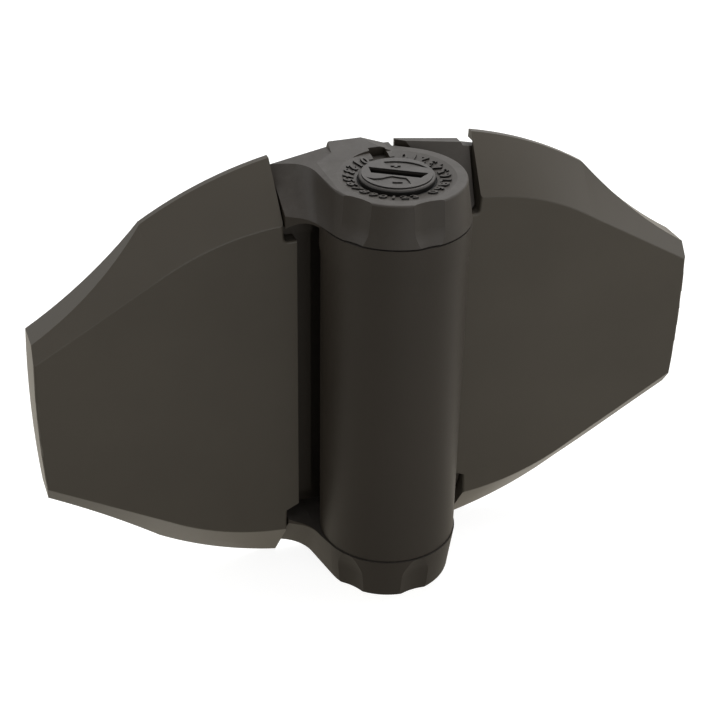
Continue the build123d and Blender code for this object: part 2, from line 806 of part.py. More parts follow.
# Slotted tension dial: head, toothed flange, and a skirt with a hexagon socket
with BuildPart() as dial:
    with BuildSketch(Plane.XZ):
        with BuildLine():
            groove = seal_r - seal_d / 2
            Polyline(
                (0, skirt_low),
                (skirt_r, skirt_low),
                (skirt_r, flange_low),
                (flange_r, flange_low),
                (flange_r, flange_top),
                (dial_r, flange_top),
                (dial_r, seal_z - seal_d / 2),
                (groove, seal_z - seal_d / 2),
                (groove, seal_z + seal_d / 2),
                (dial_r, seal_z + seal_d / 2),
                (dial_r, knuckle_top + dial_proud),
                (0, knuckle_top + dial_proud),
                close=True,
            )
        make_face()
    revolve(axis=Axis.Z)
    fillet(edges().group_by(Axis.Z)[-1], dial_edge)
    crown_teeth(flange_top, dial_r - tooth_root, flange_r - tooth_step, tooth_h)
    with BuildSketch(Plane.XY.offset(knuckle_top + dial_proud)):
        with BuildLine(mode=Mode.PRIVATE) as slot_side:
            Polyline(
                (-slot_far_l / 2, slot_w / 2),
                (slot_far_l / 2, slot_w / 2),
                (slot_near_l / 2, -slot_w / 2),
                (-slot_near_l / 2, -slot_w / 2),
                close=True,
            )
        make_face(slot_side.line.rotate(Axis.Z, slot_angle).edges())
    extrude(amount=-slot_d, mode=Mode.SUBTRACT)
    with BuildSketch(Plane.XY.offset(skirt_low)):
        RegularPolygon(hex_af / 2 + hex_fit, 6, major_radius=False)
    extrude(amount=socket_top - skirt_low, mode=Mode.SUBTRACT)
dial.part.label = "dial"

with BuildPart() as dial_seal:
    with BuildSketch(Plane.XZ):
        with Locations((seal_r, seal_z)):
            Circle(seal_d / 2)
    revolve(axis=Axis.Z)
dial_seal.part.label = "dial_seal"

# Spring driver: disc in the sleeve, hexagon post up into the dial, spigot and lug down
with BuildPart() as spring_driver:
    tube(driver_low, driver_top, driver_r)
    tube(driver_low - spigot_l, driver_low, spigot_r)
    with BuildSketch(Plane.XY.offset(driver_top)):
        RegularPolygon(hex_af / 2, 6, major_radius=False)
    extrude(amount=hex_post_top - driver_top)
    chamfer(edges().group_by(Axis.Z)[-1], 0.5)
    with BuildSketch(Plane.XY.offset(driver_low)):
        with Locations(((lug_x + driver_r) / 2, -(leg_l + 0.1 + lug_w / 2))):
            Rectangle(driver_r - lug_x, lug_w)
        Circle(driver_r, mode=Mode.INTERSECT)
    extrude(amount=-lug_l)
spring_driver.part.label = "spring_driver"

# Spring anchor: keyed and pinned in the barrel, with a lug and a spigot upwards
with BuildPart() as spring_anchor:
    tube(anchor_low, anchor_top, anchor_r)
    tube(anchor_top, anchor_top + spigot_l, spigot_r)
    with BuildSketch(Plane.XY.offset(anchor_low)):
        Rectangle(2 * key_r, key_w)
    extrude(amount=anchor_t)
    with BuildSketch(Plane.XY.offset(anchor_top)):
        with Locations(((lug_x + anchor_r) / 2, leg_l + 0.1 + lug_w / 2)):
            Rectangle(anchor_r - lug_x, lug_w)
        Circle(anchor_r, mode=Mode.INTERSECT)
    extrude(amount=lug_l)
    cut_across((anchor_low + anchor_top) / 2, roll_r, roll_in, anchor_r + 1)
spring_anchor.part.label = "spring_anchor"

# Slotted roll pin through the back of the barrel
with BuildPart() as anchor_pin:
    with BuildSketch(Plane.XZ.offset(-roll_in)):
        with Locations((0, (anchor_low + anchor_top) / 2)):
            Circle(roll_r)
            Circle(roll_bore, mode=Mode.SUBTRACT)
            with Locations((0, roll_r)):
                Rectangle(roll_slot, 2 * (roll_r - roll_bore) + 0.4, mode=Mode.SUBTRACT)
    extrude(amount=-(mount_y - roll_sink - roll_in))
anchor_pin.part.label = "anchor_pin"

# Tube that keeps the torsion spring straight
with BuildPart() as spring_guide:
    tube(anchor_top + spigot_l + stack_gap, driver_low - spigot_l - stack_gap, guide_r, guide_r - guide_wall)
spring_guide.part.label = "spring_guide"

# Torsion spring that closes the gate
coil_path = helix_wire(coil_r, coil_low, coil_top, coil_turns, leg_l)
with BuildPart() as torsion_spring:
    with BuildSketch(Plane(origin=coil_path @ 0, z_dir=coil_path % 0)):
        Circle(wire_d / 2)
    sweep(path=coil_path)
torsion_spring.part.label = "torsion_spring"
print("torsion spring gap", round(wire_clearance(coil_path, wire_d), 3))

# Compression spring that lifts the dial back into the ratchet ring
return_low = driver_top + return_wire_d / 2
return_top = skirt_low - return_wire_d / 2
return_path = helix_wire(return_coil_r, return_low, return_top, return_turns, return_leg_l)
with BuildPart() as return_spring:
    with BuildSketch(Plane(origin=return_path @ 0, z_dir=return_path % 0)):
        Circle(return_wire_d / 2)
    sweep(path=return_path)
return_spring.part.label = "return_spring"
print("return spring gap", round(wire_clearance(return_path, return_wire_d), 3))

pieces = [
    post_leaf,
    post_cover,
    gate_leaf,
    gate_cover,
    dial,
    dial_seal,
    ratchet_ring,
    return_spring,
    spring_driver,
    torsion_spring,
    spring_guide,
    spring_anchor,
    anchor_pin,
    top_pivot,
    top_bush,
    top_thrust_washer,
    lower_bush,
    lower_thrust_washer,
    bottom_pivot,
    *lock_screws,
]
for piece in pieces:
    export_step(piece.part, f"parts/{piece.part.label}.step")
    print(piece.part.label, len(piece.part.solids()), round(piece.part.volume))
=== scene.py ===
# %% [markdown]
# # A self-closing gate hinge
#
# The hinge's real solids come from its CAD model, already packed in metres and in one frame: the
# origin is on the barrel's axis, halfway up the covers, +X points to the gate, +Y goes into the
# post and +Z is up. This notebook gives each piece its finish, adds the small moulded marks,
# and sets up the studio.

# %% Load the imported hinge
import json
import math

import bmesh
import bpy
from mathutils import Matrix, Vector


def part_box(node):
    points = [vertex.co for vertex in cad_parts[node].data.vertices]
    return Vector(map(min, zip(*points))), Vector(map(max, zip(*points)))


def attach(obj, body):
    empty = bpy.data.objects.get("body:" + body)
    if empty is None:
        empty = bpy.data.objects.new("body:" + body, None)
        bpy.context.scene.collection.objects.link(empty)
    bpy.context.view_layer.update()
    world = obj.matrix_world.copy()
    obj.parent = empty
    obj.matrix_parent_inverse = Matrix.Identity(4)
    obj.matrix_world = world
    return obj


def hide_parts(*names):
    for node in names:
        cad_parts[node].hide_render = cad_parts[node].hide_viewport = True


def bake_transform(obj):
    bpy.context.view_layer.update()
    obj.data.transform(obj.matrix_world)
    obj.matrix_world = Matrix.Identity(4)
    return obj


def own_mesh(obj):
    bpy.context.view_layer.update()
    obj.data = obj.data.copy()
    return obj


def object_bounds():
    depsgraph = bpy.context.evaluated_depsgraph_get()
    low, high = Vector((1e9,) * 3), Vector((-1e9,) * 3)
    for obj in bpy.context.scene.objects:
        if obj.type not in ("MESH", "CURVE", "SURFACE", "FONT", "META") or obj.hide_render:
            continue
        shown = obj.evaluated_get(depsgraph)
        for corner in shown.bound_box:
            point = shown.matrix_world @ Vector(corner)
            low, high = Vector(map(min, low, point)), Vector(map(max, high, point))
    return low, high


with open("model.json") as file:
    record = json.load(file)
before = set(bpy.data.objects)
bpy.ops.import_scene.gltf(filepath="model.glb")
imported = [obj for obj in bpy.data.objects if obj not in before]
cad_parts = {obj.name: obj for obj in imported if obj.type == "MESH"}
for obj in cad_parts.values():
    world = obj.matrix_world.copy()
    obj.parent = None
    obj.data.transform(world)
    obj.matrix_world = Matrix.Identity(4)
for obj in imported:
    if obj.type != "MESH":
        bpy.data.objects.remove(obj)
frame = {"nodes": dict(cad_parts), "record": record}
cad_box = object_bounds()
nodes = frame["nodes"]
mm = 0.001

# %% [markdown]
# ## Helpers for shader nodes
#
# A material is a small graph. These two helpers add a node with its settings, and join sockets,
# so that each recipe below reads as a list of what it does.


# %% Node helpers
def add_node(tree, kind, **settings):
    """Add a shader node; a setting that names an input gives that input its value."""
    node = tree.nodes.new(kind)
    for key, value in settings.items():
        if key in node.inputs:
            node.inputs[key].default_value = value
        else:
            setattr(node, key, value)
    return node


def start_material(name):
    """A new material with only a Principled BSDF and its output."""
    material = bpy.data.materials.new(name)
    material.use_nodes = True
    tree = material.node_tree
    return material, tree, tree.nodes["Principled BSDF"]


def start_group(name, inputs, outputs):
    """A new shader node group with named number sockets."""
    group = bpy.data.node_groups.new(name, "ShaderNodeTree")
    for label, value in inputs.items():
        socket = group.interface.new_socket(label, in_out="INPUT", socket_type="NodeSocketFloat")
        socket.default_value = value
    for label in outputs:
        group.interface.new_socket(label, in_out="OUTPUT", socket_type="NodeSocketFloat")
    ends = group.nodes.new("NodeGroupInput"), group.nodes.new("NodeGroupOutput")
    return group, ends[0], ends[1]


def place_group(tree, group, **values):
    """Put a shared group into a material with its own values."""
    node = tree.nodes.new("ShaderNodeGroup")
    node.node_tree = group
    for label, value in values.items():
        node.inputs[label].default_value = value
    return node


print("helpers ready")

# %% [markdown]
# ## Moulding grain
#
# Outdoor hinge parts are moulded from glass-filled nylon in a spark-eroded tool, which leaves an
# even, very fine grain. It could be an image, but noise in the object's own coordinates has no
# seams and stays sharp. One group makes it for every moulded piece: `Height` for the bump and
# `Mottle`, a slow drift that keeps large faces from looking flat.

# %% Shared group: moulding grain
grain_group, grain_in, grain_out = start_group(
    "moulding_grain", {"Grain Scale": 2600.0, "Mottle Scale": 28.0}, ["Height", "Mottle"]
)
where = add_node(grain_group, "ShaderNodeTexCoord")
fine = add_node(grain_group, "ShaderNodeTexNoise", Detail=3.0, Roughness=0.6)
slow = add_node(grain_group, "ShaderNodeTexNoise", Detail=4.0, Roughness=0.55)
for noise, scale in ((fine, "Grain Scale"), (slow, "Mottle Scale")):
    grain_group.links.new(where.outputs["Object"], noise.inputs["Vector"])
    grain_group.links.new(grain_in.outputs[scale], noise.inputs["Scale"])
grain_group.links.new(fine.outputs["Fac"], grain_out.inputs["Height"])
grain_group.links.new(slow.outputs["Fac"], grain_out.inputs["Mottle"])
print("grain group:", [item.name for item in grain_group.interface.items_tree])

# %% [markdown]
# ## Handling dust and painted sheen
#
# Pale colour on what faces up is partly a trace of dust and partly painted sheen, which makes
# the tops lighter than the lamps alone make them. The shared group reads the surface's normal,
# keeps the upward part, and breaks it up with noise. A material uses the mask to lift its colour
# a little.

# %% Shared group: dust and painted sheen
dust_and_sheen_group, dust_and_sheen_in, dust_and_sheen_out = start_group(
    "dust_and_top_sheen", {"Amount": 0.2, "Patch Scale": 240.0}, ["Mask"]
)
surface = add_node(dust_and_sheen_group, "ShaderNodeNewGeometry")
split = add_node(dust_and_sheen_group, "ShaderNodeSeparateXYZ")
upward = add_node(dust_and_sheen_group, "ShaderNodeMath", operation="MULTIPLY", use_clamp=True)
patches = add_node(dust_and_sheen_group, "ShaderNodeTexNoise", Detail=5.0, Roughness=0.7)
dust_and_sheen_where = add_node(dust_and_sheen_group, "ShaderNodeTexCoord")
patchy_dust_and_sheen = add_node(dust_and_sheen_group, "ShaderNodeMath", operation="MULTIPLY", use_clamp=True)
dust_and_sheen_group.links.new(surface.outputs["Normal"], split.inputs[0])
dust_and_sheen_group.links.new(split.outputs["Z"], upward.inputs[0])
dust_and_sheen_group.links.new(dust_and_sheen_in.outputs["Amount"], upward.inputs[1])
dust_and_sheen_group.links.new(dust_and_sheen_where.outputs["Object"], patches.inputs["Vector"])
dust_and_sheen_group.links.new(dust_and_sheen_in.outputs["Patch Scale"], patches.inputs["Scale"])
dust_and_sheen_group.links.new(upward.outputs[0], patchy_dust_and_sheen.inputs[0])
dust_and_sheen_group.links.new(patches.outputs["Fac"], patchy_dust_and_sheen.inputs[1])
dust_and_sheen_group.links.new(patchy_dust_and_sheen.outputs[0], dust_and_sheen_out.inputs["Mask"])
print("dust group ready")

# %% [markdown]
# ## Moulded plastic
#
# The leaves, covers and dial are moulded in dark, slightly brown plastic. The covers are a shade
# lighter, and each kind of piece has its own grain. The Principled shader's plain specular gives
# the soft sheen and the bright edge at a grazing angle; on faces that point up part of the sheen
# is painted too, as pale colour together with the dust. The groups vary colour, roughness and
# height over the surface.


# %% Recipe: moulded plastic
# Pale colour on upward faces: partly dust, partly painted sheen on the tops.
dust_and_sheen_colour = (0.24, 0.225, 0.215, 1)
mottle_spread = 0.12
gloss_spread = 0.05


def moulded_plastic(name, colour, roughness, grain, depth, dust, specular=0.25):
    """Moulded plastic with grain, slow mottle and pale colour on upward faces, partly dust and partly
    painted sheen; depth is the grain's, in m.
    """
    material, tree, shader = start_material(name)
    shader.inputs["Specular IOR Level"].default_value = specular
    moulded = place_group(tree, grain_group, **{"Grain Scale": grain})
    dust_and_sheen_node = place_group(tree, dust_and_sheen_group, Amount=dust)
    drift = add_node(tree, "ShaderNodeMix", data_type="RGBA")
    drift.inputs[6].default_value = (*[(1 - mottle_spread) * part for part in colour], 1)
    drift.inputs[7].default_value = (*[(1 + mottle_spread) * part for part in colour], 1)
    dust_and_sheen_mix = add_node(tree, "ShaderNodeMix", data_type="RGBA")
    dust_and_sheen_mix.inputs[7].default_value = dust_and_sheen_colour
    gloss = add_node(tree, "ShaderNodeMapRange")
    gloss.inputs["To Min"].default_value = roughness - gloss_spread
    gloss.inputs["To Max"].default_value = roughness + gloss_spread
    bump = add_node(tree, "ShaderNodeBump", Strength=1.0, Distance=depth)
    tree.links.new(moulded.outputs["Mottle"], drift.inputs[0])
    tree.links.new(drift.outputs[2], dust_and_sheen_mix.inputs[6])
    tree.links.new(dust_and_sheen_node.outputs["Mask"], dust_and_sheen_mix.inputs[0])
    tree.links.new(dust_and_sheen_mix.outputs[2], shader.inputs["Base Color"])
    tree.links.new(moulded.outputs["Mottle"], gloss.inputs["Value"])
    tree.links.new(gloss.outputs[0], shader.inputs["Roughness"])
    tree.links.new(moulded.outputs["Height"], bump.inputs["Height"])
    tree.links.new(bump.outputs[0], shader.inputs["Normal"])
    return material


# Each look's dust amount also sets how much painted sheen its upward faces get.
leaf_look = {
    "colour": (0.0225, 0.0178, 0.0128),
    "roughness": 0.50,
    "grain": 2400,
    "depth": 0.02 * mm,
    "dust": 0.26,
}
dial_look = {
    "colour": (0.028, 0.024, 0.021),
    "roughness": 0.46,
    "grain": 3000,
    "depth": 0.015 * mm,
    "dust": 0.30,
}
cover_look = {
    "colour": (0.0595, 0.0518, 0.0405),
    "roughness": 0.40,
    "grain": 3200,
    "depth": 0.012 * mm,
    "dust": 0.03,
    "specular": 0.20,
}
leaf_plastic = moulded_plastic("leaf_plastic", **leaf_look)
figure_plastic = moulded_plastic("figure_plastic", **leaf_look)
dial_plastic = moulded_plastic("dial_plastic", **dial_look)
face_plastic = moulded_plastic("dial_face_plastic", **dial_look)
cover_plastic = moulded_plastic("cover_plastic", **cover_look)
print("plastics:", leaf_plastic.name, cover_plastic.name, dial_plastic.name, face_plastic.name)

# %% [markdown]
# ## Blackening part of a surface
#
# Painted shade on dark plastic is nearly black. It could be a second material on some faces, but its edge
# would then follow the mesh. Instead a mask from a shared group mixes the colour that the
# material already has to near black, so that the painted shade fades in where it should.


# %% Helper: blacken by a mask
# The near black of painted shade.
painted_shade_black = (0.004, 0.0035, 0.003, 1)


def blacken(material, mask_group, **values):
    """Mix the material's colour to near black where a group's mask is full."""
    tree = material.node_tree
    shader = tree.nodes["Principled BSDF"]
    unshaded_colour = shader.inputs["Base Color"].links[0].from_socket
    shade_mask_node = place_group(tree, mask_group, **values)
    blackened = add_node(tree, "ShaderNodeMix", data_type="RGBA")
    blackened.inputs[7].default_value = painted_shade_black
    tree.links.new(shade_mask_node.outputs["Mask"], blackened.inputs[0])
    tree.links.new(unshaded_colour, blackened.inputs[6])
    tree.links.new(blackened.outputs[2], shader.inputs["Base Color"])


print("blackening ready")

# %% [markdown]
# ## Painted shade below an edge
#
# The dial's slot and its side wall down in the gap round it are painted near black as shade. A
# group makes a mask from the height alone: nothing above the upper height, full below the lower
# one. The material then mixes its colour to near black there.

# %% Shared group: painted shade below a height
gap_shade_group, gap_shade_in, gap_shade_out = start_group(
    "painted_shade_below", {"Unshaded Above": 0.0661, "Shaded Below": 0.0657}, ["Mask"]
)
gap_shade_where = add_node(gap_shade_group, "ShaderNodeTexCoord")
gap_shade_split = add_node(gap_shade_group, "ShaderNodeSeparateXYZ")
depth_range = add_node(gap_shade_group, "ShaderNodeMapRange")
gap_shade_group.links.new(gap_shade_where.outputs["Object"], gap_shade_split.inputs[0])
gap_shade_group.links.new(gap_shade_split.outputs["Z"], depth_range.inputs["Value"])
gap_shade_group.links.new(gap_shade_in.outputs["Unshaded Above"], depth_range.inputs["From Min"])
gap_shade_group.links.new(gap_shade_in.outputs["Shaded Below"], depth_range.inputs["From Max"])
gap_shade_group.links.new(depth_range.outputs[0], gap_shade_out.inputs["Mask"])
# Painted shade on the dial: near black below the lower height, in mm, none above the upper.
shade_from, shade_full = 66.15, 65.7
blacken(dial_plastic, gap_shade_group, **{"Unshaded Above": shade_from * mm, "Shaded Below": shade_full * mm})
print("the dial is dirty below", shade_full, "mm")

# %% [markdown]
# ## Painted shade on small walls
#
# Raised figures and the dial's face get a dark line of painted shade on their side walls. The
# walls are the parts whose normal doesn't point up, so a group reads the normal's Z and gives a
# mask that is full on a wall and nothing on a top.

# %% Shared group: painted shade on walls
wall_group, wall_in, wall_out = start_group(
    "wall_painted_shade", {"Wall Below": 0.55, "Top Above": 0.92, "Amount": 0.85}, ["Mask"]
)
wall_surface = add_node(wall_group, "ShaderNodeNewGeometry")
wall_split = add_node(wall_group, "ShaderNodeSeparateXYZ")
wall_range = add_node(wall_group, "ShaderNodeMapRange")
wall_group.links.new(wall_surface.outputs["Normal"], wall_split.inputs[0])
wall_group.links.new(wall_split.outputs["Z"], wall_range.inputs["Value"])
wall_group.links.new(wall_in.outputs["Top Above"], wall_range.inputs["From Min"])
wall_group.links.new(wall_in.outputs["Wall Below"], wall_range.inputs["From Max"])
wall_group.links.new(wall_in.outputs["Amount"], wall_range.inputs["To Max"])
wall_group.links.new(wall_range.outputs[0], wall_out.inputs["Mask"])
# The side walls of the dial's face and of the figures are painted dark as shade.
blacken(face_plastic, wall_group, Amount=0.9)
blacken(figure_plastic, wall_group, Amount=0.95)
print("wall grime on:", face_plastic.name, figure_plastic.name)

# %% [markdown]
# ## Metals
#
# Inside are a turned stainless sleeve, cup and washers, oiled springs, a die-cast driver, anchor
# and ratchet ring, and small steel fasteners. They show little, and mostly when the hinge is
# taken apart, so one plain recipe serves them all. Turning marks are thin rings along the axis,
# so they come from a wave in Z, and a cast skin is the moulding grain with more depth.


# %% Recipe: turned and cast metal
def metal(name, colour, roughness, ring_scale=0.0, depth=0.01 * mm):
    """Bare or coated metal, with turning rings or a cast skin of some depth."""
    material, tree, shader = start_material(name)
    shader.inputs["Metallic"].default_value = 1.0
    moulded = place_group(tree, grain_group, **{"Grain Scale": 1400.0, "Mottle Scale": 60.0})
    drift = add_node(tree, "ShaderNodeMix", data_type="RGBA")
    drift.inputs[6].default_value = (*[0.85 * part for part in colour], 1)
    drift.inputs[7].default_value = (*colour, 1)
    gloss = add_node(tree, "ShaderNodeMapRange")
    gloss.inputs["To Min"].default_value = roughness - 0.06
    gloss.inputs["To Max"].default_value = roughness + 0.08
    bump = add_node(tree, "ShaderNodeBump", Strength=0.6, Distance=depth)
    tree.links.new(moulded.outputs["Mottle"], drift.inputs[0])
    tree.links.new(drift.outputs[2], shader.inputs["Base Color"])
    tree.links.new(moulded.outputs["Mottle"], gloss.inputs["Value"])
    tree.links.new(gloss.outputs[0], shader.inputs["Roughness"])
    if ring_scale:
        spot = add_node(tree, "ShaderNodeTexCoord")
        rings = add_node(tree, "ShaderNodeTexWave", bands_direction="Z", Scale=ring_scale, Distortion=0.4)
        tree.links.new(spot.outputs["Object"], rings.inputs["Vector"])
        tree.links.new(rings.outputs["Fac"], bump.inputs["Height"])
    else:
        tree.links.new(moulded.outputs["Height"], bump.inputs["Height"])
    tree.links.new(bump.outputs[0], shader.inputs["Normal"])
    return material


pivot_steel = metal("pivot_steel", (0.58, 0.57, 0.55), 0.28, ring_scale=900.0)
spring_steel = metal("spring_steel", (0.13, 0.125, 0.115), 0.35)
driver_metal = metal("driver_metal", (0.50, 0.50, 0.49), 0.45, depth=0.04 * mm)
fastener_steel = metal("fastener_steel", (0.08, 0.08, 0.08), 0.38)
print("metals:", pivot_steel.name, spring_steel.name, driver_metal.name, fastener_steel.name)

# %% [markdown]
# ## Bearing plastic and rubber
#
# The bushes and the spring's guide are natural acetal, which is off-white and slightly waxy, and
# the dial's seal is black rubber. Both are moulded, so the recipe for moulded plastic makes them
# too, with other values and no dust or painted sheen.

# %% Bearing plastic and rubber
bush_plastic = moulded_plastic(
    "bush_plastic", (0.66, 0.64, 0.58), roughness=0.45, grain=1800, depth=0.01 * mm, dust=0.0
)
seal_rubber = moulded_plastic(
    "seal_rubber", (0.018, 0.018, 0.018), roughness=0.62, grain=1500, depth=0.03 * mm, dust=0.0
)
print("also:", bush_plastic.name, seal_rubber.name)

# %% [markdown]
# ## Give every CAD piece its finish
#
# Each CAD node arrives without a finish. Materials could be set by hand, node by node, but the
# hinge's record already names one for each, so the finish follows the record.

# %% Assign finishes
finishes = {
    "leaf_plastic": leaf_plastic,
    "cover_plastic": cover_plastic,
    "dial_plastic": dial_plastic,
    "pivot_steel": pivot_steel,
    "spring_steel": spring_steel,
    "bush_plastic": bush_plastic,
    "driver_metal": driver_metal,
    "fastener_steel": fastener_steel,
    "seal_rubber": seal_rubber,
}
for subpart in frame["record"]["subparts"]:
    mesh = nodes[subpart["node"]].data
    mesh.materials.clear()
    mesh.materials.append(finishes[subpart["material_slot"]])

# %% [markdown]
# ## Moulded marks
#
# The dial's face has two curved pockets with a sign in each, and the knuckle round it carries a
# ring of raised figures. Flat outlines could be pushed up vertex by vertex, but a filled 2D
# curve does it in one go: it fills between nested outlines, so a hole is just a smaller outline,
# and its bevel rounds the edges as a moulding tool would.


# %% Helper: plate from outlines
def polar(radius, degrees):
    """A point on a circle round the barrel's axis."""
    return radius * math.cos(math.radians(degrees)), radius * math.sin(math.radians(degrees))


def outline_plate(name, outlines, z, height, soft, material):
    """Flat piece from closed outlines in mm, standing on z, with softened edges."""
    curve = bpy.data.curves.new(name, "CURVE")
    curve.dimensions = "2D"
    curve.fill_mode = "BOTH"
    curve.extrude = (height / 2 - soft) * mm
    curve.bevel_depth = soft * mm
    curve.bevel_resolution = 1
    curve.offset = -soft * mm
    for outline in outlines:
        spline = curve.splines.new("POLY")
        spline.points.add(len(outline) - 1)
        spline.points.foreach_set("co", [v for x, y in outline for v in (x * mm, y * mm, 0, 1)])
        spline.use_cyclic_u = True
    curve.materials.append(material)
    piece = bpy.data.objects.new(name, curve)
    piece.location.z = (z + height / 2) * mm
    bpy.context.scene.collection.objects.link(piece)
    return piece


def ring_points(radius, count):
    """Evenly spaced points round a circle."""
    return [polar(radius, 360 * step / count) for step in range(count)]


print("helpers for marks ready")

# %% [markdown]
# ## The dial's face
#
# The face stands a few tenths of a millimetre proud and is open at the slot and at the two
# pockets. One pocket is written as points, each with its distance and angle from the axis; the
# other is the same, half a turn round. The points lie a millimetre or two apart, so straight
# lines between them are smooth enough.

# %% Dial face
dial_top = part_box("dial")[1].z / mm
slot_turn = -32.4
face_h = 0.4
face_sink = 0.03
face_r = 9.6
face_soft = 0.06
slot_far, slot_near, slot_half = 16.3, 13.5, 1.7
pocket_outer = [(8.9, -2), (8.5, 9), (8.1, 22), (7.75, 36), (7.45, 50), (7.3, 64), (7.3, 78), (7.75, 97)]
pocket_inner = [(5.9, 101), (4.0, 105), (2.85, 76), (2.6, 40), (3.6, 28), (5.4, 22), (7.2, 14), (8.5, 3)]
slot_corners = [
    (slot_far / 2, slot_half),
    (slot_near / 2, -slot_half),
    (-slot_near / 2, -slot_half),
    (-slot_far / 2, slot_half),
]


def turned(points, degrees):
    """The same points after a turn about the barrel's axis."""
    c, s = polar(1.0, degrees)
    return [(c * x - s * y, s * x + c * y) for x, y in points]


pocket = [polar(radius, angle) for radius, angle in pocket_outer + pocket_inner]
dial_face = outline_plate(
    "dial_face",
    [ring_points(face_r, 96), turned(slot_corners, slot_turn), pocket, turned(pocket, 180)],
    dial_top - face_sink,
    face_h + face_sink,
    face_soft,
    face_plastic,
)
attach(dial_face, "dial")
print("dial top at", round(dial_top, 2), "mm")

# %% [markdown]
# ## Plus and minus
#
# One pocket holds a plus and the other a minus, which tell which way winds the spring up. They
# stand as high as the face.

# %% Dial signs
sign_tilt = -18.0
sign_half_l, sign_half_w = 1.3, 0.42
sign_soft = 0.05
plus_at = (1.35, 4.6)
minus_at = (-1.9, -5.2)


def bar(centre, along, half_length, half_width):
    """Four corners of a straight bar at an angle."""
    corners = [(half_length, half_width), (-half_length, half_width)]
    corners += [(-x, -y) for x, y in corners]
    return [(centre[0] + x, centre[1] + y) for x, y in turned(corners, along)]


def cross(centre, along, half_length, half_width):
    """Twelve corners of a plus sign."""
    arm = [(half_length, -half_width), (half_length, half_width), (half_width, half_width)]
    corners = [point for quarter in range(4) for point in turned(arm, 90 * quarter)]
    return [(centre[0] + x, centre[1] + y) for x, y in turned(corners, along)]


dial_signs = outline_plate(
    "dial_signs",
    [
        cross(plus_at, sign_tilt, sign_half_l, sign_half_w),
        bar(minus_at, sign_tilt, sign_half_l, sign_half_w),
    ],
    dial_top - face_sink,
    face_h + face_sink,
    sign_soft,
    face_plastic,
)
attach(dial_signs, "dial")
print("signs at", plus_at, minus_at)

# %% [markdown]
# ## Figures round the dial
#
# A ring of figures in the dish tells how far the spring is wound. Each one is a text object
# turned into a mesh. The dish slopes down to the dial, so a figure is tipped by the slope, and
# then turned round the axis with its head towards the dial.

# %% Knuckle figures
figure_r = 13.25
figure_size = 4.1
figure_h = 0.5
figure_sink = 0.08
figure_swell = 0.12
dish_low = Vector((10.75, 64.7))
dish_rim = Vector((16.0, 66.0))
dish_slope = math.atan2(dish_rim.y - dish_low.y, dish_rim.x - dish_low.x)
figure_z = dish_low.y + (figure_r - dish_low.x) * math.tan(dish_slope)
low_start, low_step, low_count = 111, 12.2, 14
high_start, high_step, high_count = 61, -12.6, 11
low_scale = [low_start + low_step * count for count in range(low_count)]
high_scale = [high_start + high_step * count for count in range(high_count)]


def text_mesh(label, size, height):
    """Mesh of a short text in mm, centred on its own middle."""
    curve = bpy.data.curves.new("figure", "FONT")
    curve.body = label
    curve.size = size * mm
    curve.extrude = height / 2 * mm
    curve.offset = figure_swell * mm
    curve.resolution_u = 4
    curve.align_x = "CENTER"
    curve.align_y = "CENTER"
    holder = bpy.data.objects.new("figure", curve)
    bpy.context.scene.collection.objects.link(holder)
    graph = bpy.context.evaluated_depsgraph_get()
    mesh = bpy.data.meshes.new_from_object(holder.evaluated_get(graph))
    bpy.data.objects.remove(holder)
    bpy.data.curves.remove(curve)
    return mesh


figures = bmesh.new()
tip = Matrix.Rotation(-dish_slope, 4, "X")
lift = Matrix.Translation((0, 0, (figure_h - figure_sink) / 2 * mm))
for scale in (low_scale, high_scale):
    for count, angle in enumerate(scale):
        glyph = text_mesh(str(count % 10), figure_size, figure_h + figure_sink)
        x, y = polar(figure_r, angle)
        place = Matrix.Translation(Vector((x, y, figure_z)) * mm)
        glyph.transform(place @ Matrix.Rotation(math.radians(angle + 90), 4, "Z") @ tip @ lift)
        figures.from_mesh(glyph)
        bpy.data.meshes.remove(glyph)
figure_mesh = bpy.data.meshes.new("knuckle_figures")
figures.to_mesh(figure_mesh)
figures.free()
figure_mesh.materials.append(figure_plastic)
knuckle_figures = bpy.data.objects.new("knuckle_figures", figure_mesh)
bpy.context.scene.collection.objects.link(knuckle_figures)
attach(knuckle_figures, "post")
print("figures:", len(low_scale) + len(high_scale), "on a slope of", round(math.degrees(dish_slope), 1))

# %% [markdown]
# ## Corners of the covers
#
# In each cover the hollow's two inner corners just reach through the bevel, as openings a hair
# wide. A moulder would leave the corner filled. A small pad just under each bevel closes it, as
# a separate piece, because a CAD mesh itself is never changed.

# %% Cover corner pads
corner_at = Vector((32.6, 18.06, 64.43))
bevel_out = Vector((0.126, -0.81, 0.57)).normalized()
pad_half = 0.4
pad_t = 0.2
pad_under = 0.12


def corner_pads(name, side, body):
    """Pads under a cover's upper and lower bevel; side is -1 on the left and 1 on the right."""
    pads = bmesh.new()
    size = Matrix.Diagonal((2 * pad_half, 2 * pad_half, pad_t, 1 / mm)) * mm
    tilt = bevel_out.to_track_quat("Z", "Y").to_matrix().to_4x4()
    sink = Matrix.Translation((corner_at - bevel_out * (pad_under + pad_t / 2)) * mm)
    for height in (1, -1):
        mirror = Matrix.Diagonal((side, 1, height, 1))
        bmesh.ops.create_cube(pads, size=1, matrix=mirror @ sink @ tilt @ size)
    bmesh.ops.recalc_face_normals(pads, faces=pads.faces)
    mesh = bpy.data.meshes.new(name)
    pads.to_mesh(mesh)
    pads.free()
    mesh.materials.append(cover_plastic)
    piece = bpy.data.objects.new(name, mesh)
    bpy.context.scene.collection.objects.link(piece)
    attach(piece, body)


corner_pads("post_cover_pads", -1, "post")
corner_pads("gate_cover_pads", 1, "gate")
print("cover pads at", tuple(round(value, 2) for value in corner_at))

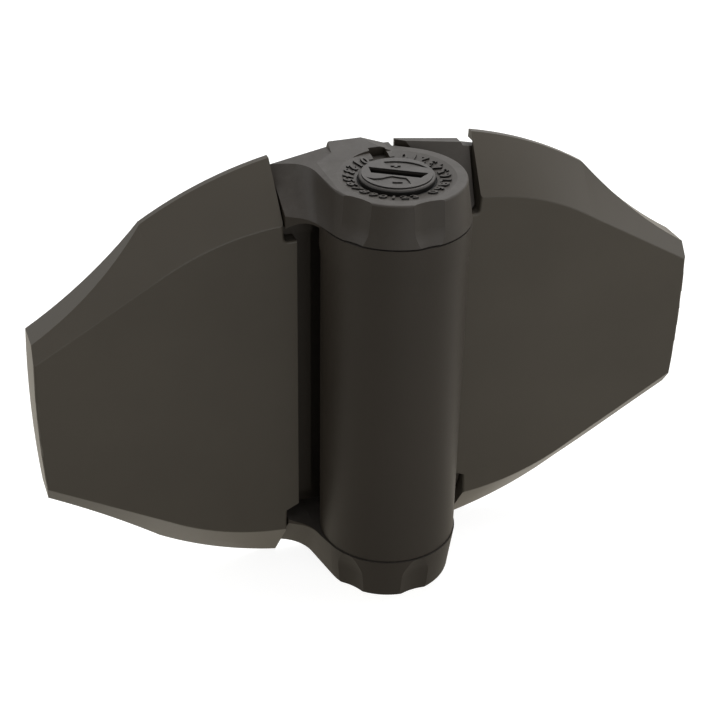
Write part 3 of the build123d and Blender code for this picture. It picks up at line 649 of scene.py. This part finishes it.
# %% [markdown]
# ## The return spring
#
# Inside the barrel a light spring holds the dial up, and shortens when the dial is pressed. A CAD
# mesh itself is never changed, so a copy stands in for it. The copy rides on the driver.


# %% Helper: copy of a CAD node
def node_copy(node, name):
    """A free piece with its own copy of a CAD node's mesh and finish."""
    piece = bpy.data.objects.new(name, nodes[node].data.copy())
    bpy.context.scene.collection.objects.link(piece)
    return piece


# %% Return spring
pressed_spring = node_copy("return_spring", "return_spring_wire")
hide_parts("return_spring")
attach(pressed_spring, "driver")
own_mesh(pressed_spring)


# %% [markdown]
# ## The torsion spring
#
# The long spring closes the gate: it winds up between the gate and the driver. A piece can be
# blended between two bodies only if a joint joins them, and here both joints go to the post. So
# two copies stand in for it, each cut to one half. The halves are listed with the lower one from
# the gate to the fixed post and the upper one from the post to the driver.


# %% Torsion spring
weld = 0.0001 * mm


def half_of(piece, height, keep_upper):
    """Weld a piece's mesh, cut it at a height and close the cut."""
    form = bmesh.new()
    form.from_mesh(piece.data)
    bmesh.ops.remove_doubles(form, verts=form.verts, dist=weld)
    cut = bmesh.ops.bisect_plane(
        form,
        geom=form.verts[:] + form.edges[:] + form.faces[:],
        plane_co=(0, 0, height),
        plane_no=(0, 0, 1),
        clear_inner=keep_upper,
        clear_outer=not keep_upper,
    )
    rim = [item for item in cut["geom_cut"] if isinstance(item, bmesh.types.BMEdge)]
    bmesh.ops.edgeloop_fill(form, edges=rim)
    form.to_mesh(piece.data)
    form.free()


wound_low, wound_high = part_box("torsion_spring")
coil_margin = 6.0 * mm
coil_low = wound_low.z + coil_margin
coil_high = wound_high.z - coil_margin
coil_middle = (coil_low + coil_high) / 2
halves = (
    ("torsion_wire_lower", False, "gate", "post", coil_low, coil_middle),
    ("torsion_wire_upper", True, "post", "driver", coil_middle, coil_high),
)
for name, keep_upper, low_body, high_body, start, end in halves:
    wire = node_copy("torsion_spring", name)
    half_of(wire, coil_middle, keep_upper)
    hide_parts("torsion_spring")
    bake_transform(wire)
print("torsion spring cut at", round(coil_middle / mm, 2), "mm")

# %% [markdown]
# ## Floor
#
# The hinge stands on a plain pale floor in a white room. The floor is lit like the object and is
# lifted towards white only for rays from the camera, for reflections and for views through
# glass, so it keeps a faint shadow and puts no extra light on the hinge. Reflections see it dim
# in front of the hinge and bright and a little warm below and behind, as paper in a light tent:
# that keeps the faces dark and lights the lower rims.

# %% Floor
floor_z = cad_box[0][2]
floor_half = 3.0
floor_mesh = bpy.data.meshes.new("floor")
corners = [(-1, -1), (1, -1), (1, 1), (-1, 1)]
floor_mesh.from_pydata([(x * floor_half, y * floor_half, floor_z) for x, y in corners], [], [(0, 1, 2, 3)])
floor = bpy.data.objects.new("floor", floor_mesh)
bpy.context.scene.collection.objects.link(floor)
floor_lift = 0.86
dim_until, bright_from = -30.0, 20.0
dim_level, bright_level = 0.20, 0.85
warm_paper = (1.0, 0.91, 0.74, 1)
floor_material, floor_tree, floor_shader = start_material("floor_white")
floor_shader.inputs["Base Color"].default_value = (0.42, 0.42, 0.41, 1)
floor_shader.inputs["Roughness"].default_value = 0.9
floor_rays = add_node(floor_tree, "ShaderNodeLightPath")
paper_tint = add_node(floor_tree, "ShaderNodeMix", data_type="RGBA")
paper_tint.inputs[6].default_value = (1, 1, 1, 1)
paper_tint.inputs[7].default_value = warm_paper
floor_tree.links.new(floor_rays.outputs["Is Glossy Ray"], paper_tint.inputs[0])
floor_tree.links.new(paper_tint.outputs[2], floor_shader.inputs["Emission Color"])
floor_where = add_node(floor_tree, "ShaderNodeTexCoord")
floor_split = add_node(floor_tree, "ShaderNodeSeparateXYZ")
back_glow = add_node(floor_tree, "ShaderNodeMapRange")
back_glow.inputs["From Min"].default_value = dim_until * mm
back_glow.inputs["From Max"].default_value = bright_from * mm
back_glow.inputs["To Min"].default_value = dim_level
back_glow.inputs["To Max"].default_value = bright_level
floor_tree.links.new(floor_where.outputs["Object"], floor_split.inputs[0])
floor_tree.links.new(floor_split.outputs["Y"], back_glow.inputs["Value"])
faint = add_node(floor_tree, "ShaderNodeMath", operation="MULTIPLY")
floor_tree.links.new(back_glow.outputs[0], faint.inputs[1])
seen = add_node(floor_tree, "ShaderNodeMath", operation="MAXIMUM")
through = add_node(floor_tree, "ShaderNodeMath", operation="MAXIMUM")
raised = add_node(floor_tree, "ShaderNodeMath", operation="MULTIPLY")
raised.inputs[1].default_value = floor_lift
floor_tree.links.new(floor_rays.outputs["Is Glossy Ray"], faint.inputs[0])
floor_tree.links.new(floor_rays.outputs["Is Camera Ray"], seen.inputs[0])
floor_tree.links.new(faint.outputs[0], seen.inputs[1])
floor_tree.links.new(seen.outputs[0], through.inputs[0])
floor_tree.links.new(floor_rays.outputs["Is Transmission Ray"], through.inputs[1])
floor_tree.links.new(through.outputs[0], raised.inputs[0])
floor_tree.links.new(raised.outputs[0], floor_shader.inputs["Emission Strength"])
floor_mesh.materials.append(floor_material)
print("floor at", round(floor_z / mm, 2), "mm")

# %% [markdown]
# ## White room
#
# The photograph's background is pure white. A world as bright as that would wash the dark
# plastic out, so the world is white only where the camera, a reflection or a view through glass
# meets it, and lights the hinge at a lower level.

# %% White room
world = bpy.data.worlds.new("white_room")
bpy.context.scene.world = world
world.use_nodes = True
room = world.node_tree
backdrop = room.nodes["Background"]
backdrop.inputs["Color"].default_value = (1, 1, 1, 1)
room_light = 0.34
rays = add_node(room, "ShaderNodeLightPath")
direct = add_node(room, "ShaderNodeMath", operation="MAXIMUM")
mirrored = add_node(room, "ShaderNodeMath", operation="MAXIMUM")
level = add_node(room, "ShaderNodeMapRange")
level.inputs["To Min"].default_value = room_light
level.inputs["To Max"].default_value = 1.0
room.links.new(rays.outputs["Is Camera Ray"], direct.inputs[0])
room.links.new(rays.outputs["Is Glossy Ray"], direct.inputs[1])
room.links.new(direct.outputs[0], mirrored.inputs[0])
room.links.new(rays.outputs["Is Transmission Ray"], mirrored.inputs[1])
room.links.new(mirrored.outputs[0], level.inputs["Value"])
room.links.new(level.outputs[0], backdrop.inputs["Strength"])
print("room light", room_light)

# %% [markdown]
# ## Soft lamps
#
# Large area lamps give the long, soft gradients of a studio. The strongest hangs above and
# behind and brightens the knuckle's top. The front lamp is low, so that it lights the covers'
# faces more than their bevels, and one on each side shapes the barrel.


# %% Soft lamps
def soft_lamp(name, place, size, power):
    """Square area lamp that looks at the hinge; place and size in m, power in W."""
    lamp = bpy.data.lights.new(name, "AREA")
    lamp.size = size
    lamp.energy = power
    holder = bpy.data.objects.new(name, lamp)
    holder.location = place
    holder.rotation_euler = (-Vector(place)).to_track_quat("-Z", "Y").to_euler()
    bpy.context.scene.collection.objects.link(holder)


soft_lamp("over_lamp", (0.40, 0.40, 0.95), size=0.9, power=9.2)
soft_lamp("front_lamp", (0.10, -1.0, 0.05), size=0.7, power=4.4)
soft_lamp("right_lamp", (1.0, -0.45, 0.25), size=0.6, power=3.2)
soft_lamp("left_lamp", (-1.0, 0.25, 0.30), size=0.6, power=2.0)

# %% [markdown]
# ## Camera
#
# The camera stands above and to the left of the barrel and looks down on it, at the place and
# with the lens that the photograph's edges give. Its three axes are the picture's right, up and
# back directions.

# %% Camera
eye = Vector((-136.11, -341.66, 234.68)) * mm
picture_right = Vector((0.9409, -0.3383, 0.0157))
picture_down = Vector((-0.1648, -0.4981, -0.8513))
look = picture_right.cross(picture_down).normalized()
camera_data = bpy.data.cameras.new("camera")
camera_data.lens = 75.77
camera_data.sensor_width = 36.0
camera_data.clip_start = 0.01
camera = bpy.data.objects.new("camera", camera_data)
axes = Matrix((picture_right.normalized(), -look.cross(picture_right).normalized(), -look)).transposed()
camera.matrix_world = Matrix.Translation(eye) @ axes.to_4x4()
bpy.context.scene.collection.objects.link(camera)
bpy.context.scene.camera = camera
print("camera looks along", [round(v, 3) for v in look])

# %% [markdown]
# ## Finish
#
# The plain Standard view shows each colour about as it is written.

# %% Finish
bpy.context.scene.view_settings.view_transform = "Standard"
